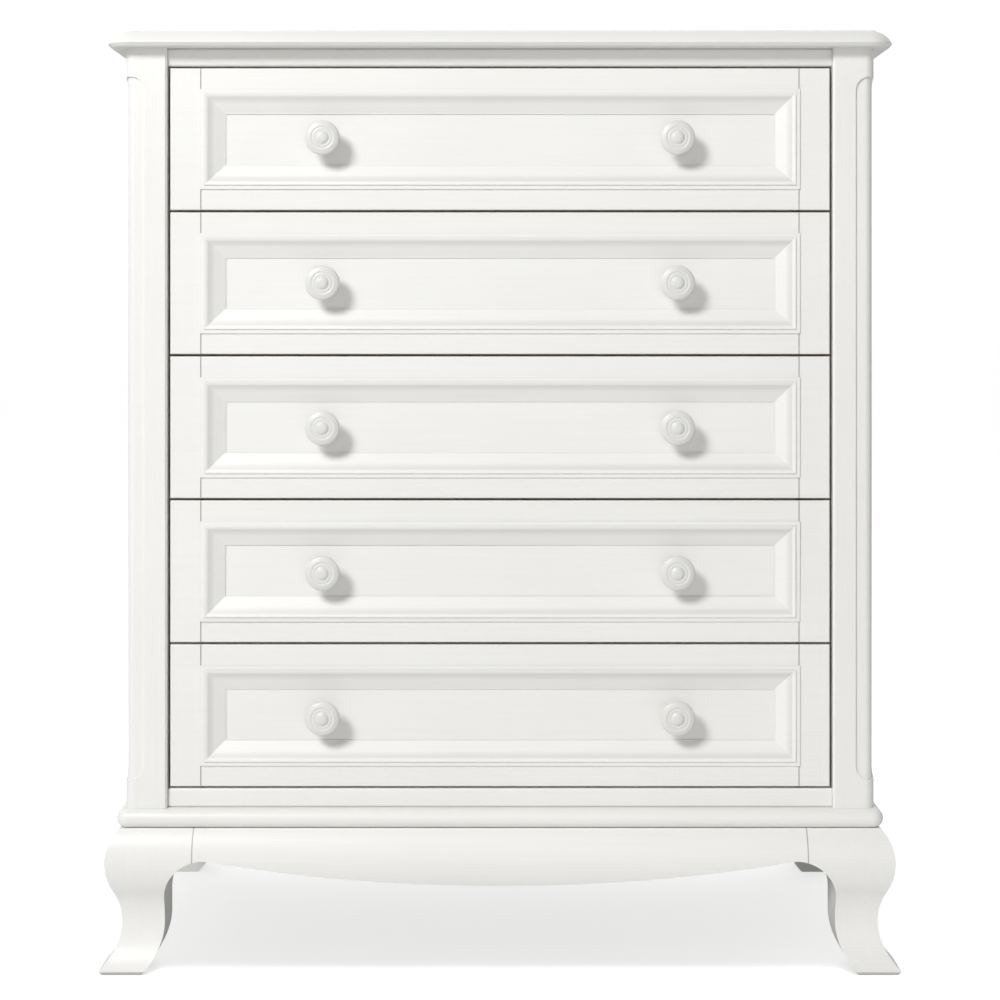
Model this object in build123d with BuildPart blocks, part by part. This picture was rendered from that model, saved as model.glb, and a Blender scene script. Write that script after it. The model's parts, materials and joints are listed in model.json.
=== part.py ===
from build123d import *
import os

# Tall chest of five drawers in painted wood, on cabriole bracket legs.
# Millimetres. +X is the viewer's right, +Y the back, +Z up. The origin is on the floor,
# under the middle of the overall box.

# Case
case_width = 977.0
case_depth = 480.0
drawer_count = 5
post_width = 55.0
post_depth = 45.0
post_corner_radius = 13.0
post_inner_chamfer = 2.5
sunk_width = 25.5
sunk_depth = 2.5
sunk_arch_radius = 18.0
sunk_end_margin = 37.5
side_panel_thickness = 18.0
side_panel_inset = 6.0
post_groove_depth = 8.0
back_thickness = 6.0
back_rebate_width = 12.0
back_rebate_depth = 9.0

# Front and rear rails
top_rail_height = 23.0
bottom_rail_height = 24.6
rail_depth = 22.0
rail_setback = 7.0
rail_edge_chamfer = 2.0
divider_height = 15.0
divider_depth = 60.0
rear_rail_height = 40.0
rear_rail_depth = 20.0
tenon_length = 10.0
tenon_shoulder = 3.0

# Top board with its thumbnail edge
top_thickness = 22.4
top_overhang = 22.5
top_corner_radius = 31.0
thumbnail_run = 20.5
thumbnail_drop = 16.5
thumbnail_fillet = 1.0
thumbnail_radius = 28.0
top_under_chamfer = 4.0

# Base board with its half-round edge
base_thickness = 24.0
base_overhang = 10.5
base_corner_radius = 15.0
base_edge_flat = 1.0

# Cabriole legs, as offsets from the side and front planes of the case
leg_height = 183.7
leg_top_projection = 5.5
knee_projection = 22.1
knee_height = 143.0
ankle_projection = 2.4
ankle_height = 62.5
foot_projection = 28.4
foot_inset = 26.5
toe_height = 5.0
toe_undercut = 4.0
leg_thickness = 52.9
bracket_reach = 105.8
bracket_height = 145.0
bracket_spring = 92.0

# Aprons between the legs
apron_thickness = 34.0
apron_drop = 33.0
side_apron_drop = 9.0
rear_apron_thickness = 22.0
rear_apron_height = 48.0
apron_tenon_length = 15.0
apron_tenon_thickness = 12.0
apron_tenon_height = 26.0
apron_tenon_top = 8.0
corner_block_size = 48.0
corner_block_height = 36.0

# Drawer fronts, framed and panelled
front_height = 184.9
front_gap = 3.0
front_side_gap = 3.5
front_setback = 5.0
front_thickness = 22.0
front_edge_chamfer = 1.2
stile_width = 40.0
front_rail_height = 28.0
seam_chamfer = 0.6
panel_recess = 8.5
panel_tongue_length = 8.0
panel_tongue_thickness = 7.0
panel_clearance = 0.5

# Mitred moulding round each panel
moulding_width = 31.3
moulding_lip = 1.0
lip_rise = 1.7
lip_width = 5.5
crest_rise = 3.2
crest_width = 5.0
crest_sag = 0.35
slope_foot_rise = 1.3
slope_foot_width = 1.2

# Turned knobs
knob_spacing = 460.0
knob_radius = 22.4
knob_length = 34.0
knob_neck_radius = 8.5
knob_neck_length = 19.0
knob_rim_height = 27.0

# Drawer boxes, dovetailed
box_back_gap = 19.0
box_top_gap = 28.9
box_lift = 16.0
box_side_thickness = 12.0
box_front_thickness = 15.0
box_back_thickness = 12.0
bottom_thickness = 6.0
bottom_lift = 6.0
bottom_groove_depth = 6.0
pin_count = 3
pin_tip = 8.0
pin_root = 13.0
back_housing = 5.0

# Telescopic slides: case channel, middle channel and drawer channel, one inside the other
slide_setback = 4.0
slide_end_gap = 21.0
slide_lift = 70.0
slide_thickness = 12.7
slide_height = 45.0
slide_gauge = 1.2
slide_play = 0.4
case_channel_depth = 9.6
middle_channel_depth = 9.6
cleat_height = 60.0

# Places that follow from the sizes above
half_case = case_width / 2
y_back = (case_depth + foot_projection) / 2
y_front = y_back - case_depth
opening_half = half_case - post_width
drawer_pitch = front_height + front_gap
z_case = leg_height + base_thickness
z_opening = z_case + bottom_rail_height
z_top = z_opening + drawer_count * drawer_pitch + front_gap + top_rail_height
panel_outer = half_case - side_panel_inset
panel_inner = panel_outer - side_panel_thickness
y_face = y_front + front_setback
y_box = y_face + front_thickness
y_rail = y_front + rail_setback
y_slide = y_box + slide_setback
y_back_panel = y_back - back_rebate_depth
front_half = opening_half - front_side_gap
frame_half = front_half - stile_width
box_half = opening_half - slide_thickness
box_inner = box_half - box_side_thickness
y_box_back = y_back_panel - box_back_gap
box_height = front_height - box_lift - box_top_gap
slide_length = y_box_back - slide_end_gap - y_slide
y_panel = y_face + panel_recess
y_box_inside = y_box + box_front_thickness
middle_half_height = slide_height / 2 - slide_gauge - slide_play
drawer_half_height = middle_half_height - slide_gauge - slide_play
x_middle_web = opening_half - slide_gauge - slide_play
x_drawer_lip = x_middle_web - slide_gauge - slide_play

os.makedirs("parts", exist_ok=True)


def save(part, label):
    part.label = label
    export_step(part, f"parts/{label}.step")


def slab(x, y, z, mode=Mode.ADD):
    """A rectangular block between two values on each axis."""
    with Locations(((x[0] + x[1]) / 2, (y[0] + y[1]) / 2, (z[0] + z[1]) / 2)):
        Box(x[1] - x[0], y[1] - y[0], z[1] - z[0], mode=mode)


def mirrored(part):
    """The left-hand twin of a right-hand piece."""
    with BuildPart() as twin:
        mirror(part, about=Plane.YZ)
    return twin.part


def gathered(parts):
    """Separate solids of one node, which may touch and stay separate."""
    return Compound(children=[solid for part in parts for solid in part.solids()])


def board_outline(height, overhang, radius):
    """Plan of a board flush at the back, overhanging in front and at the sides."""
    half = half_case + overhang
    with BuildSketch(Plane.XY.offset(height)) as outline:
        with BuildLine():
            Polyline((half, y_back), (half, y_front - overhang), (-half, y_front - overhang),
                     (-half, y_back), close=True)
        make_face()
        fillet(outline.vertices().group_by(Axis.Y)[0], radius)
    return outline.sketch


def thumbnail_cutter(half, y_edge):
    """Section of what is cut from the top board's upper edge, at the back of its left side."""
    waste = 5.0
    start = Plane(origin=(-half, y_back + waste, z_top), x_dir=(1, 0, 0), z_dir=(0, -1, 0))
    nose = top_thickness - thumbnail_drop
    with BuildSketch(start) as section:
        with BuildLine():
            waste_edge = Polyline((0, nose), (-waste, nose), (-waste, top_thickness + waste),
                                  (thumbnail_run, top_thickness + waste),
                                  (thumbnail_run, top_thickness - thumbnail_fillet))
            RadiusArc(waste_edge @ 1, waste_edge @ 0, -thumbnail_radius)
        make_face()
    with BuildLine(Plane.XY.offset(z_top)) as path:
        FilletPolyline((-half, y_back + waste), (-half, y_edge), (half, y_edge), (half, y_back + waste),
                       radius=top_corner_radius)
    return section.sketch, path.line


def make_top_board():
    half = half_case + top_overhang
    with BuildPart() as board:
        extrude(board_outline(z_top, top_overhang, top_corner_radius), amount=top_thickness)
        under = board.faces().sort_by(Axis.Z)[0].edges().filter_by(lambda e: e.center().Y < y_back - 1)
        chamfer(under, top_under_chamfer)
        section, path = thumbnail_cutter(half, y_front - top_overhang)
        sweep(section, path=path, mode=Mode.SUBTRACT)
    return board.part


def make_base_board():
    with BuildPart() as board:
        extrude(board_outline(leg_height, base_overhang, base_corner_radius), amount=base_thickness)
        rims = board.faces().filter_by(Axis.Z).edges().filter_by(lambda e: e.center().Y < y_back - 1)
        fillet(rims, (base_thickness - base_edge_flat) / 2)
    return board.part


def rail_sections():
    """Depth and height of every cross rail between the front posts, by name."""
    rail_y = (y_rail, y_rail + rail_depth)
    divider_y = (y_box + front_gap, y_box + front_gap + divider_depth)
    sections = {
        "top_rail": (rail_y, (z_top - top_rail_height, z_top)),
        "bottom_rail": (rail_y, (z_case, z_opening)),
    }
    for level in range(1, drawer_count):
        middle = z_opening + level * drawer_pitch + front_gap / 2
        divider_z = (middle - divider_height / 2, middle + divider_height / 2)
        sections[f"divider_{level}"] = (divider_y, divider_z)
    return sections


def rear_rail_section():
    return (y_back_panel - rear_rail_depth, y_back_panel), (z_top - rear_rail_height, z_top)


def tenon(section, mode=Mode.ADD):
    """The stub tenon of a rail, or the mortise for it, in the right-hand post."""
    y, z = section
    slab((opening_half, opening_half + tenon_length), (y[0] + tenon_shoulder, y[1] - tenon_shoulder),
         (z[0] + tenon_shoulder, z[1] - tenon_shoulder), mode)


def make_rail(section, edge_chamfer=0.0):
    y, z = section
    with BuildPart() as rail:
        slab((-opening_half, opening_half), y, z)
        if edge_chamfer:
            chamfer(rail.faces().sort_by(Axis.Y)[0].edges().filter_by(Axis.X), edge_chamfer)
        tenon(section)
        mirror(about=Plane.YZ)
    return rail.part


def make_sunk_window():
    """The arch-ended space sunk round the outer corner of a post, before its core is put back."""
    z_middle = (z_case + z_top) / 2
    z_size = z_top - z_case - 2 * sunk_end_margin
    waste = 10.0
    wide = sunk_width + waste
    corner = (half_case, y_front, z_middle)
    with BuildPart() as window:
        with BuildSketch(Plane(origin=corner, x_dir=(1, 0, 0), z_dir=(0, -1, 0))) as front:
            with Locations((wide / 2 - sunk_width, 0)):
                Rectangle(wide, z_size)
            fillet(front.vertices().group_by(Axis.X)[0], sunk_arch_radius)
        extrude(amount=wide, both=True)
        with BuildSketch(Plane(origin=corner, x_dir=(0, -1, 0), z_dir=(-1, 0, 0))) as side:
            with Locations((wide / 2 - sunk_width, 0)):
                Rectangle(wide, z_size)
            fillet(side.vertices().group_by(Axis.X)[0], sunk_arch_radius)
        extrude(amount=wide, both=True, mode=Mode.INTERSECT)
    return window.part


def make_sunk_core():
    with BuildPart() as core:
        slab((half_case - sunk_width, half_case - sunk_depth), (y_front + sunk_depth, y_front + sunk_width),
             (z_case + sunk_end_margin, z_top - sunk_end_margin))
        corner = core.edges().filter_by(Axis.Z).sort_by(lambda e: e.center().X - e.center().Y)[-1]
        fillet(corner, post_corner_radius - sunk_depth)
    return core.part


def make_front_post():
    y_rear = y_front + post_depth
    window = make_sunk_window()
    core = make_sunk_core()
    with BuildPart() as post:
        slab((opening_half, half_case), (y_front, y_rear), (z_case, z_top))
        uprights = post.edges().filter_by(Axis.Z)
        fillet(uprights.sort_by(lambda e: e.center().X - e.center().Y)[-1], post_corner_radius)
        chamfer(uprights.sort_by(lambda e: e.center().X + e.center().Y)[0], post_inner_chamfer)
        add(window, mode=Mode.SUBTRACT)
        add(core)
        slab((panel_inner, panel_outer), (y_rear - post_groove_depth, y_rear), (z_case, z_top),
             Mode.SUBTRACT)
        for section in rail_sections().values():
            tenon(section, Mode.SUBTRACT)
    return post.part


def make_rear_post():
    y_fore = y_back - post_depth
    with BuildPart() as post:
        slab((opening_half, half_case), (y_fore, y_back), (z_case, z_top))
        slab((panel_inner, panel_outer), (y_fore, y_fore + post_groove_depth), (z_case, z_top),
             Mode.SUBTRACT)
        slab((opening_half, opening_half + back_rebate_width), (y_back_panel, y_back), (z_case, z_top),
             Mode.SUBTRACT)
        tenon(rear_rail_section(), Mode.SUBTRACT)
    return post.part


def make_side_panel():
    grooved = post_depth - post_groove_depth
    with BuildPart() as panel:
        slab((panel_inner, panel_outer), (y_front + grooved, y_back - grooved), (z_case, z_top))
    return panel.part


def make_back_panel():
    reach = opening_half + back_rebate_width
    with BuildPart() as panel:
        slab((-reach, reach), (y_back_panel, y_back_panel + back_thickness), (z_case, z_top))
    return panel.part


def draw_knee(foot=None):
    """Draw the bulged face that legs and aprons share, and on a leg its flare down to the foot."""
    knee = (knee_projection, knee_height)
    ankle = (ankle_projection, ankle_height)
    waist = ((knee_projection + ankle_projection) / 2, (knee_height + ankle_height) / 2)
    TangentArc(knee, (leg_top_projection, leg_height), tangent=(0, 1))
    TangentArc(knee, waist, tangent=(0, -1))
    TangentArc(ankle, waist, tangent=(0, 1))
    if foot:
        TangentArc(ankle, foot, tangent=(0, -1))


def leg_outline(plane):
    """The leg seen square on: x runs outwards from the case plane, y up from the floor."""
    with BuildSketch(plane) as outline:
        with BuildLine():
            draw_knee((foot_projection, toe_height))
            sole = Polyline((foot_projection, toe_height), (foot_projection - toe_undercut, 0),
                            (-foot_inset, 0))
            calf = TangentArc((-leg_thickness, ankle_height), sole @ 1, tangent=(0, -1))
            shin = Line(calf @ 0, (-leg_thickness, bracket_spring))
            bracket = TangentArc(shin @ 1, (-bracket_reach, bracket_height), tangent=(0, 1))
            Polyline(bracket @ 1, (-bracket_reach, leg_height), (leg_top_projection, leg_height))
        make_face()
    return outline.sketch


def rear_leg_outline(plane):
    """The rear leg from the side: flat at the back, with the bracket towards the front."""
    with BuildSketch(plane) as outline:
        with BuildLine():
            back = Line((0, leg_height), (0, 0))
            sole = Line(back @ 1, (-leg_thickness, 0))
            shin = Line(sole @ 1, (-leg_thickness, bracket_spring))
            bracket = TangentArc(shin @ 1, (-bracket_reach, bracket_height), tangent=(0, 1))
            end = Line(bracket @ 1, (-bracket_reach, leg_height))
            Line(end @ 1, back @ 0)
        make_face()
    return outline.sketch


def apron_tenon_z():
    return leg_height - apron_tenon_top - apron_tenon_height, leg_height - apron_tenon_top


def apron_tenon_depth(thickness):
    """How far behind the outer face plane a tenon starts and ends."""
    return (thickness - apron_tenon_thickness) / 2, (thickness + apron_tenon_thickness) / 2


def make_leg(at_front):
    """A right-hand leg: bracket wings on the two inner sides of one shaped post."""
    y_corner = y_front if at_front else y_back
    inward = 1 if at_front else -1
    facing = Plane(origin=(half_case, y_corner, 0), x_dir=(1, 0, 0), z_dir=(0, -1, 0))
    if at_front:
        beside = Plane(origin=(half_case, y_corner, 0), x_dir=(0, -1, 0), z_dir=(-1, 0, 0))
        beside_outline = leg_outline(beside)
        facing_thickness = apron_thickness
    else:
        beside = Plane(origin=(half_case, y_corner, 0), x_dir=(0, 1, 0), z_dir=(1, 0, 0))
        beside_outline = rear_leg_outline(beside)
        facing_thickness = rear_apron_thickness
    x_seam = half_case - bracket_reach
    y_seam = y_corner + inward * bracket_reach
    y_wing = y_corner + inward * leg_thickness
    with BuildPart() as leg:
        extrude(leg_outline(facing), amount=bracket_reach, both=True)
        extrude(beside_outline, amount=bracket_reach, both=True, mode=Mode.INTERSECT)
        slab((x_seam, half_case - leg_thickness), sorted((y_wing, y_seam)), (0, leg_height), Mode.SUBTRACT)
        near, far = apron_tenon_depth(facing_thickness)
        slab((x_seam, x_seam + apron_tenon_length),
             sorted((y_corner + inward * near, y_corner + inward * far)), apron_tenon_z(), Mode.SUBTRACT)
        near, far = apron_tenon_depth(apron_thickness)
        slab((half_case - far, half_case - near), sorted((y_seam - inward * apron_tenon_length, y_seam)),
             apron_tenon_z(), Mode.SUBTRACT)
    return leg.part


def apron_section(plane):
    """Section of a bulged apron: the knee curve outside, flat inside."""
    with BuildSketch(plane) as section:
        with BuildLine():
            draw_knee()
            Polyline((ankle_projection, ankle_height), (-apron_thickness, ankle_height),
                     (-apron_thickness, leg_height), (leg_top_projection, leg_height))
        make_face()
    return section.sketch


def apron_face(plane, half_length, drop):
    """Face of an apron, with its lower edge one shallow arc that hangs lowest in the middle."""
    with BuildSketch(plane) as face:
        with BuildLine():
            low = ThreePointArc((-half_length, bracket_height), (0, bracket_height - drop),
                                (half_length, bracket_height))
            Polyline(low @ 1, (half_length, leg_height), (-half_length, leg_height), low @ 0)
        make_face()
    return face.sketch


def make_front_apron():
    half = half_case - bracket_reach
    reach = apron_thickness + knee_projection
    near, far = apron_tenon_depth(apron_thickness)
    across = Plane(origin=(0, y_front, 0), x_dir=(0, -1, 0), z_dir=(-1, 0, 0))
    facing = Plane(origin=(0, y_front, 0), x_dir=(1, 0, 0), z_dir=(0, -1, 0))
    with BuildPart() as apron:
        extrude(apron_section(across), amount=half, both=True)
        extrude(apron_face(facing, half, apron_drop), amount=reach, both=True, mode=Mode.INTERSECT)
        slab((-half - apron_tenon_length, half + apron_tenon_length), (y_front + near, y_front + far),
             apron_tenon_z())
    return apron.part


def make_side_apron():
    half = case_depth / 2 - bracket_reach
    y_middle = (y_front + y_back) / 2
    reach = apron_thickness + knee_projection
    near, far = apron_tenon_depth(apron_thickness)
    across = Plane(origin=(half_case, y_middle, 0), x_dir=(1, 0, 0), z_dir=(0, -1, 0))
    beside = Plane(origin=(half_case, y_middle, 0), x_dir=(0, 1, 0), z_dir=(1, 0, 0))
    with BuildPart() as apron:
        extrude(apron_section(across), amount=half, both=True)
        extrude(apron_face(beside, half, side_apron_drop), amount=reach, both=True, mode=Mode.INTERSECT)
        slab((half_case - far, half_case - near),
             (y_middle - half - apron_tenon_length, y_middle + half + apron_tenon_length), apron_tenon_z())
    return apron.part


def make_rear_apron():
    half = half_case - bracket_reach
    near, far = apron_tenon_depth(rear_apron_thickness)
    with BuildPart() as apron:
        slab((-half, half), (y_back - rear_apron_thickness, y_back),
             (leg_height - rear_apron_height, leg_height))
        slab((-half - apron_tenon_length, half + apron_tenon_length), (y_back - far, y_back - near),
             apron_tenon_z())
    return apron.part


def make_corner_blocks():
    """Three-cornered glue blocks in the inner angle of each leg, under the base board."""
    x = half_case - leg_thickness
    size = corner_block_size
    with BuildPart() as blocks:
        with BuildSketch(Plane.XY.offset(leg_height)):
            for y, inward in ((y_front + leg_thickness, 1), (y_back - leg_thickness, -1)):
                with BuildLine():
                    Polyline((x, y), (x - size, y), (x, y + inward * size), close=True)
                make_face()
        extrude(amount=-corner_block_height)
        mirror(about=Plane.YZ)
    return blocks.part


def drawer_base(number):
    """Height of the lower edge of a drawer front. Drawer 1 is at the top."""
    return z_opening + front_gap + (drawer_count - number) * drawer_pitch


def slide_middle(number):
    return drawer_base(number) + box_lift + slide_lift


def make_cleats():
    """Battens between the posts, which bring the slides' seats flush with the posts."""
    with BuildPart() as cleats:
        for number in range(1, drawer_count + 1):
            middle = slide_middle(number)
            slab((opening_half, panel_inner), (y_front + post_depth, y_back - post_depth),
                 (middle - cleat_height / 2, middle + cleat_height / 2))
        mirror(about=Plane.YZ)
    return cleats.part


def channel(x_web, x_lip, half_height, middle):
    """A sheet-metal channel along Y, between its web and its flange edges, on the right-hand side."""
    x = sorted((x_web, x_lip))
    y = (y_slide, y_slide + slide_length)
    hollow = (x[0], x[1] - slide_gauge) if x_web > x_lip else (x[0] + slide_gauge, x[1])
    slab(x, y, (middle - half_height, middle + half_height))
    inside = half_height - slide_gauge
    slab(hollow, y, (middle - inside, middle + inside), Mode.SUBTRACT)


def make_case_channels():
    with BuildPart() as channels:
        for number in range(1, drawer_count + 1):
            channel(opening_half, opening_half - case_channel_depth, slide_height / 2, slide_middle(number))
        mirror(about=Plane.YZ)
    return channels.part


def make_middle_channels(number):
    with BuildPart() as channels:
        channel(x_middle_web, x_middle_web - middle_channel_depth, middle_half_height, slide_middle(number))
        mirror(about=Plane.YZ)
    return channels.part


def make_drawer_channels(number):
    with BuildPart() as channels:
        channel(box_half, x_drawer_lip, drawer_half_height, slide_middle(number))
        mirror(about=Plane.YZ)
    return channels.part


def make_front(number):
    """Two stiles, two rails tenoned into them and a panel in their grooves."""
    low = drawer_base(number)
    high = low + front_height
    y = (y_face, y_box)
    groove_y = (y_panel, y_panel + panel_tongue_thickness)
    panel_low = low + front_rail_height
    panel_high = high - front_rail_height
    with BuildPart() as stile:
        slab((frame_half, front_half), y, (low, high))
        rim = stile.faces().sort_by(Axis.Y)[0].edges()
        chamfer(rim.filter_by(lambda e: e.center().X > frame_half + seam_chamfer), front_edge_chamfer)
        seam = stile.edges().filter_by(Axis.Z).sort_by(lambda e: e.center().X + e.center().Y)[0]
        chamfer(seam, seam_chamfer)
        slab((frame_half, frame_half + panel_tongue_length), groove_y, (low, high), Mode.SUBTRACT)
    with BuildPart() as rail:
        slab((-frame_half, frame_half), y, (low, panel_low))
        foot = rail.edges().filter_by(Axis.X).sort_by(lambda e: e.center().Y + e.center().Z)[0]
        chamfer(foot, front_edge_chamfer)
        chamfer(rail.edges().filter_by(Axis.Z).sort_by(Axis.Y)[0:2], seam_chamfer)
        rail_half = frame_half + panel_tongue_length
        slab((-rail_half, rail_half), groove_y, (low, panel_low))
        slab((-front_half, front_half), groove_y, (panel_low - panel_tongue_length, panel_low),
             Mode.SUBTRACT)
    reach = panel_tongue_length - panel_clearance
    with BuildPart() as panel:
        slab((-frame_half, frame_half), (y_panel, y_box), (panel_low, panel_high))
        slab((-frame_half - reach, frame_half + reach), groove_y, (panel_low - reach, panel_high + reach))
    middle = Plane.XY.offset((low + high) / 2)
    with BuildPart() as upper_rail:
        mirror(rail.part, about=middle)
    return gathered([stile.part, mirrored(stile.part), rail.part, upper_rail.part, panel.part])


def moulding_section(plane):
    """Section of the moulding: x runs inwards from the frame's inner edge, y out of the frame's face."""
    crest_start = lip_width - moulding_lip
    crest_end = crest_start + crest_width
    foot_start = moulding_width - slope_foot_width
    foot_top = slope_foot_rise - panel_recess
    with BuildSketch(plane) as section:
        with BuildLine():
            lip = Polyline((0, -panel_recess), (0, 0), (-moulding_lip, 0), (-moulding_lip, lip_rise),
                           (crest_start, lip_rise), (crest_start, crest_rise))
            crest = SagittaArc(lip @ 1, (crest_end, lip_rise), crest_sag)
            Polyline(crest @ 1, (foot_start, foot_top), (moulding_width, foot_top),
                     (moulding_width, -panel_recess), lip @ 0)
        make_face()
    return section.sketch


def mitre(plane, half_length, half_height):
    """The wedge of the front that one length of the moulding fills, out to its mitres."""
    outer_x = half_length + moulding_lip
    outer_y = half_height + moulding_lip
    run = moulding_lip + moulding_width
    with BuildSketch(plane) as wedge:
        with BuildLine():
            Polyline((-outer_x, outer_y), (outer_x, outer_y), (outer_x - run, outer_y - run),
                     (run - outer_x, outer_y - run), close=True)
        make_face()
    return wedge.sketch


def make_moulding(number):
    """Four mitred lengths seated in the angle between frame and panel."""
    middle_z = drawer_base(number) + front_height / 2
    half_height = front_height / 2 - front_rail_height
    facing = Plane(origin=(0, y_face, middle_z), x_dir=(1, 0, 0), z_dir=(0, -1, 0))
    turned = Plane(origin=(0, y_face, middle_z), x_dir=(0, 0, -1), z_dir=(0, -1, 0))
    above = Plane(origin=(0, y_face, middle_z + half_height), x_dir=(0, 0, -1), z_dir=(-1, 0, 0))
    beside = Plane(origin=(frame_half, y_face, middle_z), x_dir=(-1, 0, 0), z_dir=(0, 0, 1))
    depth = front_thickness
    with BuildPart() as upper:
        extrude(moulding_section(above), amount=front_half, both=True)
        extrude(mitre(facing, frame_half, half_height), amount=depth, both=True, mode=Mode.INTERSECT)
    with BuildPart() as right:
        extrude(moulding_section(beside), amount=front_half, both=True)
        extrude(mitre(turned, half_height, frame_half), amount=depth, both=True, mode=Mode.INTERSECT)
    with BuildPart() as lower:
        mirror(upper.part, about=Plane.XY.offset(middle_z))
    return gathered([upper.part, lower.part, right.part, mirrored(right.part)])


def knob_profile():
    """Half section of a knob standing on its neck: x is the radius, y the distance from the panel."""
    with BuildSketch(Plane.XZ) as profile:
        with BuildLine():
            Polyline((0, 0), (knob_neck_radius, 0), (knob_neck_radius, knob_neck_length),
                     (knob_radius, knob_rim_height), (knob_radius, knob_length), (0, knob_length),
                     close=True)
        make_face()
    return profile.sketch


def make_knobs(number):
    """Turned knobs: a straight neck that flares to a broad round head."""
    height = drawer_base(number) + front_height / 2
    seats = [Plane(origin=(side * knob_spacing / 2, y_panel, height), z_dir=(0, -1, 0)) for side in (-1, 1)]
    with BuildPart() as knob:
        revolve(knob_profile(), axis=Axis.Z)
    with BuildPart() as knobs:
        with Locations(*seats):
            add(knob.part)
    return knobs.part


def dovetail_pins(y_tip, y_root, low, high):
    """The row of pins, seen from the side, that lock a box side to the board across its end."""
    pitch = (high - low) / pin_count
    with BuildSketch(Plane.YZ.offset(box_inner)) as pins:
        for index in range(pin_count):
            middle = low + pitch * (index + 0.5)
            with BuildLine():
                Polyline((y_tip, middle - pin_tip / 2), (y_root, middle - pin_root / 2),
                         (y_root, middle + pin_root / 2), (y_tip, middle + pin_tip / 2), close=True)
            make_face()
    return pins.sketch


def make_box(number):
    """Two sides dovetailed to a front and rebated for a back, grooved for the bottom."""
    low = drawer_base(number) + box_lift
    high = low + box_height
    bottom_top = low + bottom_lift + bottom_thickness
    front_pins = dovetail_pins(y_box, y_box_inside, bottom_top, high)
    back_y = (y_box_back - box_back_thickness, y_box_back)
    back_half = box_inner + back_housing
    groove = (
        (-box_inner - bottom_groove_depth, box_inner + bottom_groove_depth),
        (y_box_inside - bottom_groove_depth, y_box_back),
        (low + bottom_lift, bottom_top),
    )
    with BuildPart() as side:
        slab((box_inner, box_half), (y_box, y_box_back), (low, high))
        extrude(front_pins, amount=box_side_thickness, mode=Mode.SUBTRACT)
        slab((box_inner, back_half), back_y, (bottom_top, high), Mode.SUBTRACT)
        slab(*groove, Mode.SUBTRACT)
    with BuildPart() as inner_front:
        extrude(front_pins, amount=box_side_thickness)
        mirror(about=Plane.YZ)
        slab((-box_inner, box_inner), (y_box, y_box_inside), (low, high))
        slab(*groove, Mode.SUBTRACT)
    with BuildPart() as back:
        slab((-back_half, back_half), back_y, (bottom_top, high))
    sides = [side.part, mirrored(side.part)]
    return gathered([*sides, inner_front.part, back.part])


def make_bottom(number):
    low = drawer_base(number) + box_lift + bottom_lift
    reach = box_inner + bottom_groove_depth
    with BuildPart() as bottom:
        slab((-reach, reach), (y_box_inside - bottom_groove_depth, y_box_back),
             (low, low + bottom_thickness))
    return bottom.part


right_hand = {
    "front_post": make_front_post(),
    "rear_post": make_rear_post(),
    "side_panel": make_side_panel(),
    "front_leg": make_leg(True),
    "rear_leg": make_leg(False),
    "side_apron": make_side_apron(),
}
for name, piece in right_hand.items():
    save(piece, f"right_{name}")
    save(mirrored(piece), f"left_{name}")

sections = rail_sections()
save(make_top_board(), "top_board")
save(make_base_board(), "base_board")
save(make_back_panel(), "back_panel")
save(make_rail(sections["top_rail"], rail_edge_chamfer), "top_front_rail")
save(make_rail(sections["bottom_rail"], rail_edge_chamfer), "bottom_front_rail")
save(make_rail(rear_rail_section()), "top_rear_rail")
dividers = [make_rail(sections[f"divider_{level}"]) for level in range(1, drawer_count)]
save(gathered(dividers), "drawer_dividers")
save(make_front_apron(), "front_apron")
save(make_rear_apron(), "rear_apron")
save(make_corner_blocks(), "corner_blocks")
save(make_cleats(), "slide_cleats")
save(make_case_channels(), "case_channels")
for number in range(1, drawer_count + 1):
    save(make_front(number), f"drawer_{number}_front")
    save(make_moulding(number), f"drawer_{number}_moulding")
    save(make_knobs(number), f"drawer_{number}_knobs")
    save(make_box(number), f"drawer_{number}_box")
    save(make_bottom(number), f"drawer_{number}_bottom")
    save(make_drawer_channels(number), f"drawer_{number}_channels")
    save(make_middle_channels(number), f"drawer_{number}_middle_channels")
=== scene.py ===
import json
import math

import bmesh
import bpy
from mathutils import Matrix, Vector


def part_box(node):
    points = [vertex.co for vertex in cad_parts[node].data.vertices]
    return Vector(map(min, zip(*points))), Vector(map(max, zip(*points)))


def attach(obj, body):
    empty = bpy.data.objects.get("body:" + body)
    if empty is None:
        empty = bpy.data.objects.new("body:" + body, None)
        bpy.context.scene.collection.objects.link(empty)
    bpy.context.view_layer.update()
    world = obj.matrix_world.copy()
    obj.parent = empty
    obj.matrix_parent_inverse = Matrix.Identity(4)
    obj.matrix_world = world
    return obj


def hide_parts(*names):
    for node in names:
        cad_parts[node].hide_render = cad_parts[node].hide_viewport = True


# Looks of the tall chest: white satin paint outside, beech and birch ply drawers on zinc plated slides.
# Metres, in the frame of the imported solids: +X is the viewer's right, +Y the back, +Z up.

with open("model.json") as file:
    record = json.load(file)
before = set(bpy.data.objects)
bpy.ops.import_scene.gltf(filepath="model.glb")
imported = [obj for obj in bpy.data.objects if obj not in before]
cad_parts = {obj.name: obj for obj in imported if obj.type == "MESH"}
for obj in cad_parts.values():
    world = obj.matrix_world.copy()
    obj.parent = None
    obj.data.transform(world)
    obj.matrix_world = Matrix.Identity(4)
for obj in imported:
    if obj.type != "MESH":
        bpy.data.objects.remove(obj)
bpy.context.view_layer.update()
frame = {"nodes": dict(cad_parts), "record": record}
nodes = frame["nodes"]
drawers = range(1, 1 + sum(name.endswith("_front") and name.startswith("drawer_") for name in nodes))

# Camera: level, with the photograph's horizon above the middle of the frame
camera_distance = 2.42
camera_height = 0.837
lens_mm = 66.96
sensor_mm = 36.0
horizon_shift = -0.175

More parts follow.
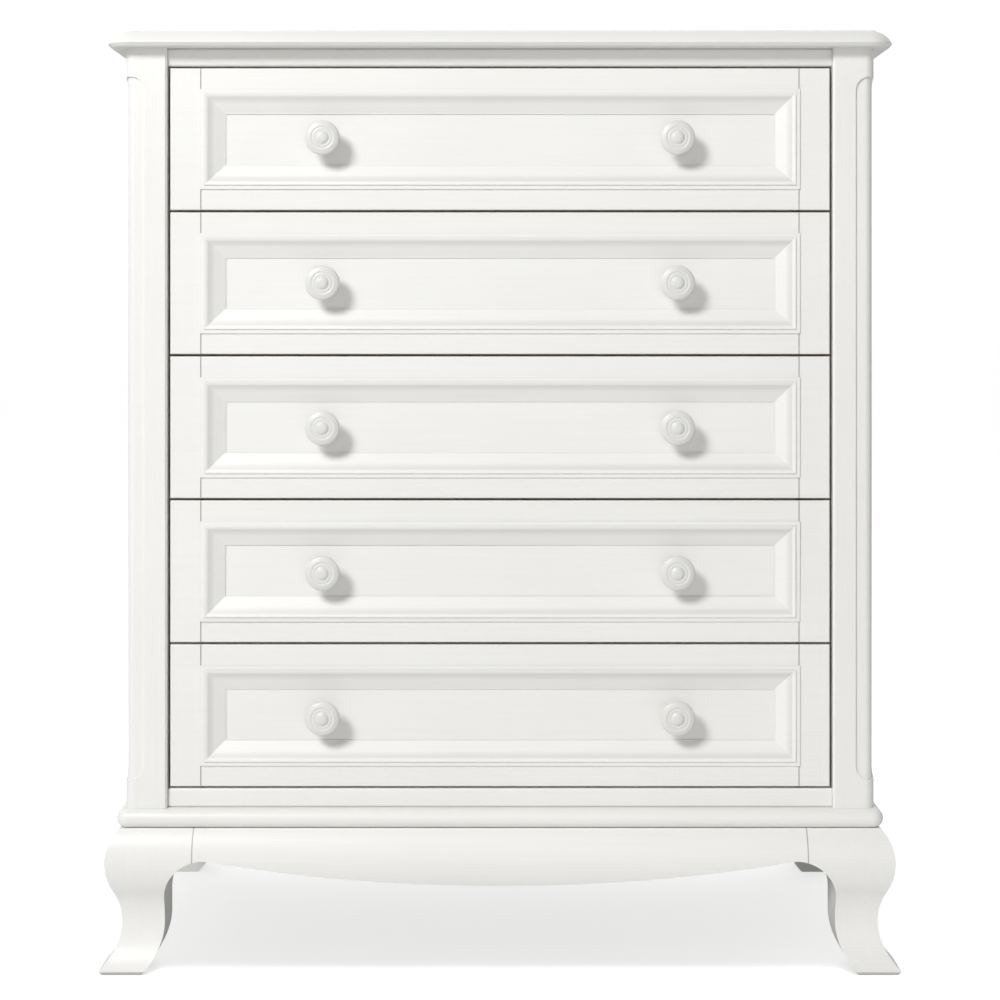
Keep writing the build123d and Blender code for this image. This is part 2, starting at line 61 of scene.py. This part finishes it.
# Lamps: disks that face one point on the chest
lamp_target = (0.0, 0.0, 0.62)
key_place = (-2.3, -3.6, 3.4)
key_size = 1.45
key_watts = 171.0
fill_place = (0.3, -4.2, 0.9)
fill_size = 2.6
fill_watts = 20.0
overhead_place = (0.0, -0.8, 4.0)
overhead_size = 1.4
overhead_watts = 112.0

# World: strength of its light from three sides, and how far back a direction has to point to be fully behind
world_left = 0.37
world_right = 0.24
world_behind = 1.03
fully_behind = 0.6

# Floor: its size, its whiteness and the share of it in darker patches, its glow and its roughness
floor_size = 200.0
floor_white = 0.66
floor_mottle = 0.98
floor_glow = 0.615
floor_roughness = 0.8

# Rounding of edges, by kind of piece
paint_round = 0.0011
leg_round = 0.0024
front_round = 0.0004
moulding_round = 0.0009
bare_round = 0.0006

# Angles from which an edge is eased or shades as sharp, weight of large faces in the shading, weld distance
eased_angle = math.radians(28)
sharp_angle = math.radians(50)
large_face_weight = 100
weld_reach = 0.00002

# Paint: whiteness of boards and of knobs, the tint of both, the shade of its clouds, and its clear coat
board_white = 0.835
knob_white = 0.72
paint_tint = (1.0, 0.993, 0.962)
paint_cloud = 0.96
paint_coat = 0.12
paint_coat_roughness = 0.3

# Side boards of the drawer boxes
box_side_thickness = 0.012

# Painted shade in the joints at the stiles of the drawer fronts and at the ends of the apron:
# half the width of a line, and the level in its middle
stile_width = 0.04
joint_half = 0.0012
joint_level = 0.38

# Painted shade in the quirks of the mouldings: pairs of place, as a share of the reach in from the edge, and
# level
quirk_reach = 0.034
quirk_shades = [(0.0, 0.87), (0.02, 1.0), (0.14, 1.0), (0.162, 0.88), (0.185, 1.0), (0.28, 1.0),
                (0.315, 0.86), (0.39, 0.86), (0.56, 1.0), (0.9, 1.0), (0.94, 0.92), (1.0, 0.9)]

# Outline of a turned knob in smooth runs, as shares of its radius and of its length
knob_neck_and_rim = [(0.49, 0.0), (0.47, 0.07), (0.35, 0.2), (0.34, 0.34), (0.5, 0.54), (0.86, 0.7),
                     (0.985, 0.765), (1.0, 0.81), (0.975, 0.85), (0.9, 0.885), (0.72, 0.925), (0.655, 0.925)]
knob_groove = [(0.63, 0.918), (0.6, 0.914), (0.57, 0.918)]
knob_bead = [(0.55, 0.924), (0.49, 0.932), (0.43, 0.926)]
knob_button = [(0.4, 0.922), (0.36, 0.938), (0.26, 0.98), (0.12, 0.998), (0.0, 1.0)]
knob_sides = 64

white = (1.0, 1.0, 1.0)


class Finish:
    """A procedural material under construction: one shader and the nodes that feed it."""

    def __init__(self, name, metallic=0.0):
        self.material = bpy.data.materials.new(name)
        self.material.use_nodes = True
        self.tree = self.material.node_tree
        self.shader = self.tree.nodes["Principled BSDF"]
        self.shader.inputs["Metallic"].default_value = metallic
        self.place = self.tree.nodes.new("ShaderNodeTexCoord").outputs["Object"]

    def link(self, out, to):
        self.tree.links.new(out, to)

    def stretched(self, scale):
        """The place on the surface, scaled along X, Y and Z."""
        mapping = self.tree.nodes.new("ShaderNodeMapping")
        mapping.inputs["Scale"].default_value = scale
        self.link(self.place, mapping.inputs["Vector"])
        return mapping.outputs["Vector"]

    def noise(self, scale, detail, roughness=0.55, distortion=0.0):
        """Noise value over the surface; scale is per metre along X, Y and Z."""
        node = self.tree.nodes.new("ShaderNodeTexNoise")
        node.inputs["Scale"].default_value = 1.0
        node.inputs["Detail"].default_value = detail
        node.inputs["Roughness"].default_value = roughness
        node.inputs["Distortion"].default_value = distortion
        self.link(self.stretched(scale), node.inputs["Vector"])
        return node.outputs["Fac"]

    def cells(self, scale):
        """One random value for each cell of the surface; scale is per metre along X, Y and Z."""
        node = self.tree.nodes.new("ShaderNodeTexVoronoi")
        node.inputs["Scale"].default_value = 1.0
        self.link(self.stretched(scale), node.inputs["Vector"])
        return node.outputs["Color"]

    def ramp(self, value, stops):
        """Colours along a value, as pairs of place and colour."""
        node = self.tree.nodes.new("ShaderNodeValToRGB")
        elements = node.color_ramp.elements
        while len(elements) < len(stops):
            elements.new(0.5)
        for element, (place, colour) in zip(elements, stops):
            element.position = place
            element.color = (*colour, 1.0)
        self.link(value, node.inputs["Fac"])
        return node.outputs["Color"]

    def multiply(self, first, second, share):
        """The first colour, darkened by a share of the second."""
        node = self.tree.nodes.new("ShaderNodeMix")
        node.data_type = "RGBA"
        node.blend_type = "MULTIPLY"
        node.inputs["Factor"].default_value = share
        self.link(first, node.inputs["A"])
        self.link(second, node.inputs["B"])
        return node.outputs["Result"]

    def remap(self, value, low, high, end=1.0):
        """A value that runs from low to high while the given one runs from 0 to end."""
        node = self.tree.nodes.new("ShaderNodeMapRange")
        node.inputs["From Max"].default_value = end
        node.inputs["To Min"].default_value = low
        node.inputs["To Max"].default_value = high
        self.link(value, node.inputs["Value"])
        return node.outputs["Result"]

    def compute(self, operation, value, operand=0.0):
        """What an operation makes of a value and an operand, which is a plain number or another value."""
        node = self.tree.nodes.new("ShaderNodeMath")
        node.operation = operation
        self.link(value, node.inputs[0])
        if isinstance(operand, float):
            node.inputs[1].default_value = operand
        else:
            self.link(operand, node.inputs[1])
        return node.outputs["Value"]

    def axis(self, name, place=None):
        """One part of a place, which is the place on the surface if none is given."""
        split = self.tree.nodes.new("ShaderNodeSeparateXYZ")
        self.link(place or self.place, split.inputs["Vector"])
        return split.outputs[name]

    def off(self, value, middle):
        """Distance of a value from a middle."""
        return self.compute("ABSOLUTE", self.compute("SUBTRACT", value, middle))

    def turn_beyond(self, side_x):
        """Swap X and Y for boards farther out than side_x, so that grain along X runs along Y there."""
        swapped = self.tree.nodes.new("ShaderNodeCombineXYZ")
        for old_axis, new_axis in ("XY", "YX", "ZZ"):
            self.link(self.axis(old_axis), swapped.inputs[new_axis])
        is_side = self.compute("GREATER_THAN", self.compute("ABSOLUTE", self.axis("X")), side_x)
        chosen = self.tree.nodes.new("ShaderNodeMix")
        chosen.data_type = "VECTOR"
        self.link(is_side, chosen.inputs["Factor"])
        self.link(self.place, chosen.inputs["A"])
        self.link(swapped.outputs["Vector"], chosen.inputs["B"])
        self.place = chosen.outputs["Result"]

    def colour(self, out):
        self.link(out, self.shader.inputs["Base Color"])

    def roughen(self, value, low, high):
        """Let the roughness follow a value between two bounds."""
        self.link(self.remap(value, low, high), self.shader.inputs["Roughness"])

    def bump(self, *layers):
        """Raised detail from pairs of value and height in metres, one on the other."""
        normal = None
        for value, height in layers:
            node = self.tree.nodes.new("ShaderNodeBump")
            node.inputs["Distance"].default_value = height
            self.link(value, node.inputs["Height"])
            if normal:
                self.link(normal, node.inputs["Normal"])
            normal = node.outputs["Normal"]
        self.link(normal, self.shader.inputs["Normal"])


def even(scale):
    """Noise scale that is the same along every axis."""
    return (scale, scale, scale)


def along(axis, with_grain, across):
    """Noise scale that is stretched along one axis."""
    scale = [across, across, across]
    scale["XYZ".index(axis)] = with_grain
    return tuple(scale)


def joint_shade(finish, joint_x):
    """Painted shade: dark lines in the upright joints that stand joint_x to the left and right of the
    middle.
    """
    off_joint = finish.off(finish.compute("ABSOLUTE", finish.axis("X")), joint_x)
    return finish.remap(off_joint, low=joint_level, high=1.0, end=joint_half)


def quirk_shade(finish, width, height):
    """Painted shade in the hollows of a moulding that frames an upright rectangle as large as the node's
    box.
    """
    in_box = finish.tree.nodes.new("ShaderNodeTexCoord").outputs["Generated"]
    middle = 0.5
    off_middle_x = finish.off(finish.axis("X", in_box), middle)
    off_middle_z = finish.off(finish.axis("Z", in_box), middle)
    from_side = finish.remap(off_middle_x, low=width / 2, high=0.0, end=middle)
    from_end = finish.remap(off_middle_z, low=height / 2, high=0.0, end=middle)
    inward = finish.remap(finish.compute("MINIMUM", from_side, from_end), low=0.0, high=1.0, end=quirk_reach)
    return finish.ramp(inward, [(place, (level,) * 3) for place, level in quirk_shades])


def satin_paint(name, axis, whiteness, shade=None, *sizes):
    """Sprayed white paint: faint clouds, soft orange peel, a hint of grain along the board.

    A shade function, called with the sizes, can paint shade into it in joints or hollows.
    """
    finish = Finish(name)
    clouds = finish.noise(even(2.3), detail=3.0)
    grain = finish.noise(along(axis, with_grain=6.0, across=260.0), detail=5.0)
    peel = finish.noise(even(620.0), detail=2.0)
    clean = tuple(whiteness * part for part in paint_tint)
    base = finish.ramp(clouds, [(0.3, tuple(paint_cloud * part for part in clean)), (0.7, clean)])
    lines = finish.ramp(grain, [(0.25, (0.965, 0.963, 0.958)), (0.6, white)])
    painted = finish.multiply(base, lines, share=0.6)
    if shade:
        painted = finish.multiply(painted, shade(finish, *sizes), share=1.0)
    finish.colour(painted)
    finish.roughen(peel, low=0.34, high=0.46)
    finish.bump((grain, 0.00012), (peel, 0.00006))
    finish.shader.inputs["Coat Weight"].default_value = paint_coat
    finish.shader.inputs["Coat Roughness"].default_value = paint_coat_roughness
    return finish.material


def beech(name, axis, side_x=None):
    """Lacquered beech: pinkish straw, long soft figure and short dark flecks along the grain.

    On a box, the sides stand beyond side_x and have their grain along Y.
    """
    finish = Finish(name)
    if side_x:
        finish.turn_beyond(side_x)
    bands = along(axis, with_grain=1.6, across=34.0)
    figure = finish.noise(bands, detail=5.0, roughness=0.6, distortion=0.4)
    fibre = finish.noise(along(axis, with_grain=14.0, across=900.0), detail=4.0)
    flecks = finish.noise(along(axis, with_grain=110.0, across=1500.0), detail=1.0)
    base = finish.ramp(figure, [(0.28, (0.50, 0.31, 0.165)),
                                (0.5, (0.62, 0.41, 0.235)),
                                (0.74, (0.70, 0.49, 0.30))])
    threads = finish.ramp(fibre, [(0.3, (0.84, 0.80, 0.76)), (0.65, white)])
    dashes = finish.ramp(flecks, [(0.30, (0.55, 0.42, 0.33)), (0.37, white)])
    threaded = finish.multiply(base, threads, share=0.7)
    finish.colour(finish.multiply(threaded, dashes, share=0.75))
    finish.roughen(fibre, low=0.36, high=0.52)
    finish.bump((fibre, 0.00012), (flecks, 0.00008))
    return finish.material


def birch_ply(axis):
    """Rotary-cut birch face veneer: pale, with broad wavy figure."""
    finish = Finish("birch_ply")
    waves = along(axis, with_grain=2.6, across=11.0)
    figure = finish.noise(waves, detail=6.0, roughness=0.62, distortion=1.1)
    fibre = finish.noise(along(axis, with_grain=16.0, across=800.0), detail=3.0)
    base = finish.ramp(figure, [(0.3, (0.60, 0.44, 0.26)),
                                (0.48, (0.70, 0.54, 0.345)),
                                (0.7, (0.77, 0.62, 0.42))])
    threads = finish.ramp(fibre, [(0.3, (0.88, 0.85, 0.80)), (0.65, white)])
    finish.colour(finish.multiply(base, threads, share=0.6))
    finish.roughen(fibre, low=0.42, high=0.58)
    finish.bump((fibre, 0.0001))
    return finish.material


def zinc_steel():
    """Rolled sheet with a bright zinc coat: fine roll lines, patchy sheen."""
    finish = Finish("zinc_steel", metallic=1.0)
    patches = finish.cells(even(70.0))
    lines = finish.noise(along("Y", with_grain=5.0, across=1400.0), detail=3.0)
    base = finish.ramp(patches, [(0.1, (0.58, 0.60, 0.63)), (0.9, (0.70, 0.71, 0.73))])
    streaks = finish.ramp(lines, [(0.3, (0.9, 0.9, 0.9)), (0.7, white)])
    finish.colour(finish.multiply(base, streaks, share=0.8))
    finish.roughen(lines, low=0.24, high=0.42)
    finish.bump((lines, 0.00003))
    return finish.material


def pale_floor():
    """Matt studio floor; its glow whitens it for the camera without lighting the chest from below."""
    finish = Finish("pale_floor")
    mottle = finish.noise(even(1.2), detail=4.0)
    grit = finish.noise(even(90.0), detail=3.0)
    finish.colour(finish.ramp(mottle, [(0.3, (floor_mottle * floor_white,) * 3), (0.7, (floor_white,) * 3)]))
    finish.shader.inputs["Roughness"].default_value = floor_roughness
    finish.shader.inputs["Emission Color"].default_value = (*white, 1.0)
    ray = finish.tree.nodes.new("ShaderNodeLightPath")
    glow = finish.compute("MULTIPLY", ray.outputs["Is Camera Ray"], floor_glow)
    finish.link(glow, finish.shader.inputs["Emission Strength"])
    finish.bump((grit, 0.0002))
    return finish.material


stile_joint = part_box("drawer_1_front")[1].x - stile_width
apron_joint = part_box("front_apron")[1].x
moulding_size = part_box("drawer_1_moulding")[1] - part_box("drawer_1_moulding")[0]
paint = {axis: satin_paint(f"satin_paint_{axis}", axis, board_white) for axis in "XYZ"}
# Fronts, apron and legs carry painted shade in their joints
front_paint = satin_paint("satin_paint_fronts", "X", board_white, joint_shade, stile_joint)
apron_paint = satin_paint("satin_paint_apron", "X", board_white, joint_shade, apron_joint)
leg_paint = satin_paint("satin_paint_legs", "Z", board_white, joint_shade, apron_joint)
# Mouldings carry painted shade in their quirks
moulding_paint = satin_paint("satin_paint_mouldings", "X", board_white,
                             quirk_shade, moulding_size.x, moulding_size.z)
knob_paint = satin_paint("satin_paint_turned", "Y", knob_white)
bare = {axis: beech(f"beech_{axis}", axis) for axis in "XY"}
box_wood = beech("beech_boxes", "X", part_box("drawer_1_box")[1].x - box_side_thickness)
ply = birch_ply("X")
steel = zinc_steel()

upright_nodes = ("front_post", "rear_post", "side_panel", "back_panel")
depth_nodes = ("side_apron", "slide_cleats", "corner_blocks")


def grain_axis(name):
    """The way the wood of a node runs."""
    if name.endswith(upright_nodes):
        return "Z"
    return "Y" if name.endswith(depth_nodes) else "X"


def dress(node, material, rounding):
    """Give a CAD node its material, and ease its edges where a rounding is given."""
    node.data.materials.clear()
    node.data.materials.append(material)
    weld = node.modifiers.new("weld", "WELD")
    weld.merge_threshold = weld_reach
    if rounding:
        bevel = node.modifiers.new("eased_edges", "BEVEL")
        bevel.width = rounding
        bevel.segments = 2
        bevel.limit_method = "ANGLE"
        bevel.angle_limit = eased_angle
        bevel.use_clamp_overlap = True
        split = node.modifiers.new("sharp_edges", "EDGE_SPLIT")
        split.split_angle = sharp_angle
        flat = node.modifiers.new("flat_faces", "WEIGHTED_NORMAL")
        flat.weight = large_face_weight
        flat.keep_sharp = True


for subpart in frame["record"]["subparts"]:
    name = subpart["node"]
    slot = subpart["material_slot"]
    if slot == "painted_wood":
        if name.endswith("front_leg"):
            dress(nodes[name], leg_paint, leg_round)
        elif name.endswith("rear_leg"):
            dress(nodes[name], paint["Z"], leg_round)
        elif name == "front_apron":
            dress(nodes[name], apron_paint, paint_round)
        elif name.endswith("_front"):
            dress(nodes[name], front_paint, front_round)
        elif name.endswith("_moulding"):
            dress(nodes[name], moulding_paint, moulding_round)
        else:
            dress(nodes[name], paint[grain_axis(name)], paint_round)
    elif name.endswith("_box"):
        dress(nodes[name], box_wood, bare_round)
    elif slot == "drawer_wood":
        dress(nodes[name], bare[grain_axis(name)], bare_round)
    elif slot == "plywood":
        dress(nodes[name], ply, 0.0)
    else:
        dress(nodes[name], steel, 0.0)


def lathe(name, profile, sides):
    """A turned piece about Z from pairs of radius and height, closed on the axis at both ends."""
    mesh = bmesh.new()
    angles = [2 * math.pi / sides * side for side in range(sides)]
    rings = []
    for radius, height in profile:
        ring = [(radius * math.cos(angle), radius * math.sin(angle), height) for angle in angles]
        if radius == 0.0:
            ring = ring[:1]
        rings.append([mesh.verts.new(corner) for corner in ring])
    for lower, upper in zip(rings, rings[1:]):
        for side in range(sides):
            corners = [lower[side % len(lower)], lower[(side + 1) % len(lower)],
                       upper[(side + 1) % len(upper)], upper[side % len(upper)]]
            mesh.faces.new(dict.fromkeys(corners))
    for face in mesh.faces:
        face.smooth = True
    data = bpy.data.meshes.new(name)
    mesh.to_mesh(data)
    mesh.free()
    piece = bpy.data.objects.new(name, data)
    bpy.context.scene.collection.objects.link(piece)
    return piece


def smooth_profile(points, steps=5):
    """Points of a smooth line through the given ones."""
    line = []
    ends = [points[0], *points, points[-1]]
    for before, first, second, after in zip(ends, ends[1:], ends[2:], ends[3:]):
        for step in range(steps):
            share = step / steps
            line.append(tuple(
                0.5 * (2 * b + (c - a) * share + (2 * a - 5 * b + 4 * c - d) * share ** 2
                       + (3 * b - a - 3 * c + d) * share ** 3)
                for a, b, c, d in zip(before, first, second, after)))
    return [*line, points[-1]]


def knob_profile(radius, length):
    """Outline of a knob, from the middle of its foot to the middle of its face."""
    outline = [(0.0, 0.0)]
    for run in (knob_neck_and_rim, knob_groove, knob_bead, knob_button):
        outline += smooth_profile([(out * radius, up * length) for out, up in run])
    return outline


def turn_knobs(number):
    """The two turned knobs of a drawer, on the CAD knobs' own axes. Gives back the left one."""
    node = f"drawer_{number}_knobs"
    low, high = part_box(node)
    length = high.y - low.y
    radius = (high.z - low.z) / 2
    middle_z = (high.z + low.z) / 2
    facing = Matrix.Rotation(math.radians(90), 4, "X")
    pieces = []
    for side, x in (("left", low.x + radius), ("right", high.x - radius)):
        knob = lathe(f"drawer_{number}_{side}_knob", knob_profile(radius, length), knob_sides)
        knob.matrix_world = Matrix.Translation((x, high.y, middle_z)) @ facing
        knob.data.materials.append(knob_paint)
        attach(knob, f"drawer_{number}")
        pieces.append(knob)
    return pieces[0]


for number in drawers:
    left = turn_knobs(number)
    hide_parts(f"drawer_{number}_knobs")


def lay_floor():
    """One flat face that reaches nearly to the horizon."""
    half = floor_size / 2
    corners = [(-half, -half, 0), (half, -half, 0), (half, half, 0), (-half, half, 0)]
    data = bpy.data.meshes.new("floor")
    data.from_pydata(corners, [], [(0, 1, 2, 3)])
    floor = bpy.data.objects.new("floor", data)
    bpy.context.scene.collection.objects.link(floor)
    floor.data.materials.append(pale_floor())
    return floor


def area_light(name, place, size, watts):
    """A disk lamp that faces the lamps' target."""
    data = bpy.data.lights.new(name, "AREA")
    data.shape = "DISK"
    data.size = size
    data.energy = watts
    light = bpy.data.objects.new(name, data)
    light.location = place
    light.rotation_euler = (Vector(lamp_target) - Vector(place)).to_track_quat("-Z", "Y").to_euler()
    bpy.context.scene.collection.objects.link(light)
    return light


def link_light(light, thing, state):
    """Let a lamp light only one thing (INCLUDE), or everything but that thing (EXCLUDE)."""
    receivers = bpy.data.collections.new(f"{light.name}_receivers")
    receivers.objects.link(thing)
    receivers.collection_objects[0].light_linking.link_state = state
    light.light_linking.receiver_collection = receivers


def light_world():
    """White backdrop all round; as a light, bright behind the chest and brighter left than right."""
    world = bpy.data.worlds.new("studio")
    bpy.context.scene.world = world
    world.use_nodes = True
    tree = world.node_tree
    background = tree.nodes["Background"]
    background.inputs["Color"].default_value = (*white, 1.0)
    place = tree.nodes.new("ShaderNodeTexCoord")
    split = tree.nodes.new("ShaderNodeSeparateXYZ")
    tree.links.new(place.outputs["Generated"], split.inputs["Vector"])
    ray = tree.nodes.new("ShaderNodeLightPath")
    spans = ((split.outputs["X"], (-1.0, 1.0), (world_left, world_right)),
             (split.outputs["Y"], (0.0, fully_behind), (0.0, world_behind)),
             (ray.outputs["Is Camera Ray"], (0.0, 1.0), (0.0, world_behind)))
    strongest = None
    for value, reach, levels in spans:
        level = tree.nodes.new("ShaderNodeMapRange")
        level.interpolation_type = "SMOOTHSTEP"
        level.inputs["From Min"].default_value, level.inputs["From Max"].default_value = reach
        level.inputs["To Min"].default_value, level.inputs["To Max"].default_value = levels
        tree.links.new(value, level.inputs["Value"])
        if strongest:
            most = tree.nodes.new("ShaderNodeMath")
            most.operation = "MAXIMUM"
            tree.links.new(strongest, most.inputs[0])
            tree.links.new(level.outputs["Result"], most.inputs[1])
            strongest = most.outputs["Value"]
        else:
            strongest = level.outputs["Result"]
    tree.links.new(strongest, background.inputs["Strength"])


def set_camera():
    """A level camera in front of the middle of the chest."""
    data = bpy.data.cameras.new("camera")
    data.sensor_width = sensor_mm
    data.lens = lens_mm
    data.shift_y = horizon_shift
    camera = bpy.data.objects.new("camera", data)
    front_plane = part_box("right_front_post")[0].y
    camera.location = (0.0, front_plane - camera_distance, camera_height)
    camera.rotation_euler = (math.radians(90), 0.0, 0.0)
    bpy.context.scene.collection.objects.link(camera)
    bpy.context.scene.camera = camera


floor = lay_floor()
light_world()
link_light(area_light("key", key_place, key_size, key_watts), floor, "EXCLUDE")
link_light(area_light("overhead", overhead_place, overhead_size, overhead_watts), floor, "INCLUDE")
area_light("fill", fill_place, fill_size, fill_watts)
set_camera()
bpy.context.scene.view_settings.view_transform = "Standard"
